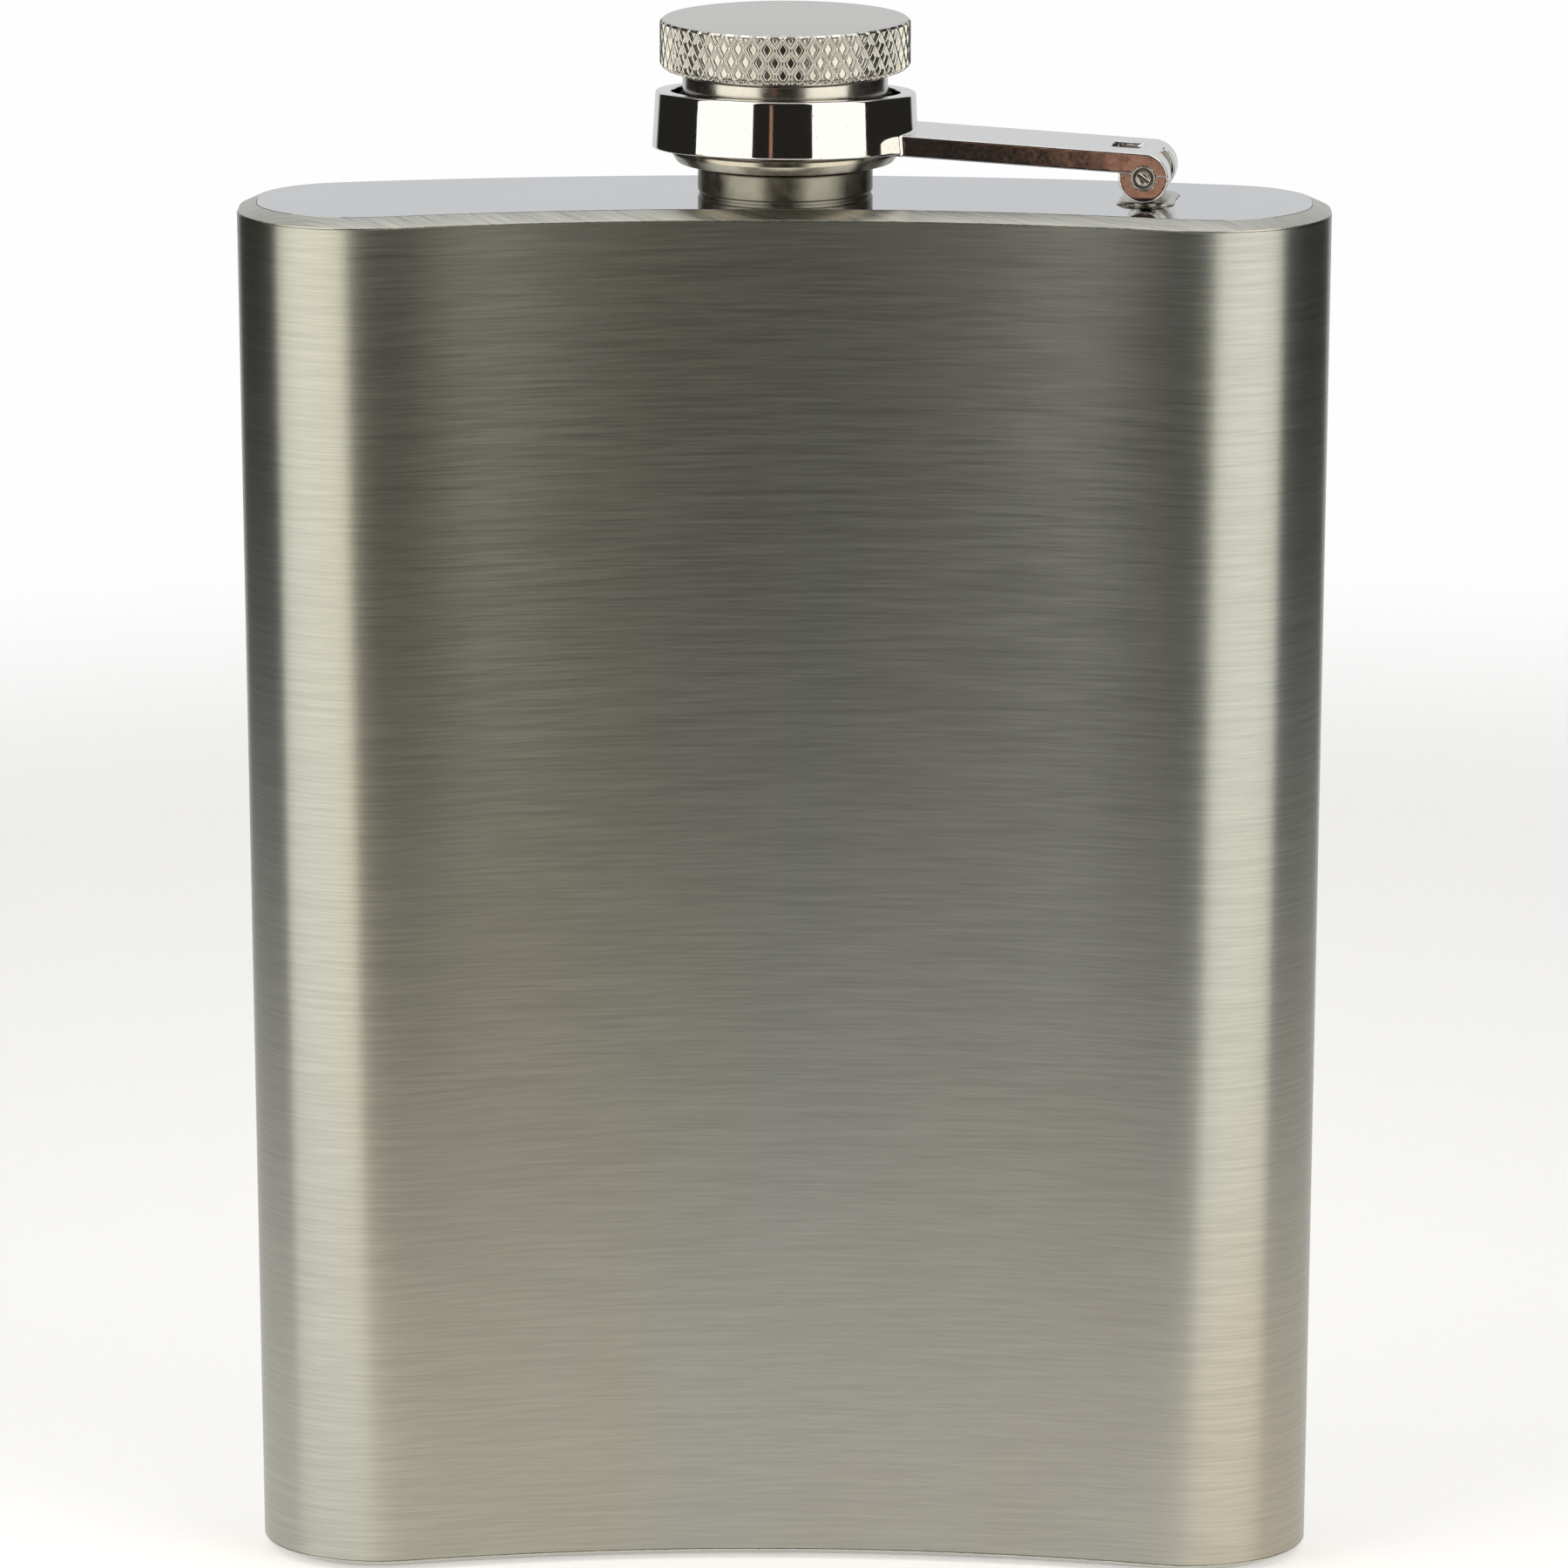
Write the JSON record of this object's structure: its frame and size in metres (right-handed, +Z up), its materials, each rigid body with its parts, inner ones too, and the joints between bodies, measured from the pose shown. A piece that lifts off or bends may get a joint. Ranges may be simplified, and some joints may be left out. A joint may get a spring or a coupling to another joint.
{
  "type": "hip flask",
  "caption": "Curved steel hip flask with a threaded neck and a knurled screw cap held captive by a hinged strap.",
  "frame": {"origin": "middle of the flat base, midway between the two curved faces at the flask's centreline", "axes": "+Z up along the neck, +X towards the strap's hinge, -Y out of the concave side that lies against the hip"},
  "size_m": [0.095, 0.0279, 0.1357],
  "materials": {
    "sleeve": "brushed",
    "plates": "polished",
    "welds": "ground",
    "nickel": "polished nickel plate",
    "strap": "mirror chrome plate",
    "pin": "plain steel",
    "seal": "matte"
  },
  "bodies": {
    "flask": {"body_shell": "sleeve", "top_plate": "plates", "bottom_plate": "plates", "top_seam_weld": "welds", "bottom_seam_weld": "welds", "neck": "nickel", "neck_weld": "welds", "hinge_foot": "welds", "hinge_post": "nickel"},
    "strap": {"strap": "strap", "hinge_pin": "pin"},
    "cap": {"cap": "nickel", "cap_retaining_ring": "nickel", "cap_seal": "seal"}
  },
  "joints": [
    {"name": "strap_swing", "type": "hinge", "parent": "flask", "child": "strap", "pos_m": [0.03159, -0.00365, 0.12295], "axis": [0.1149, 0.9934, 0], "range_deg": [0, 115]},
    {"name": "cap_turn", "type": "hinge", "parent": "strap", "child": "cap", "pos_m": [0, 0, 0.13], "axis": [0, 0, 1], "continuous": true}
  ]
}
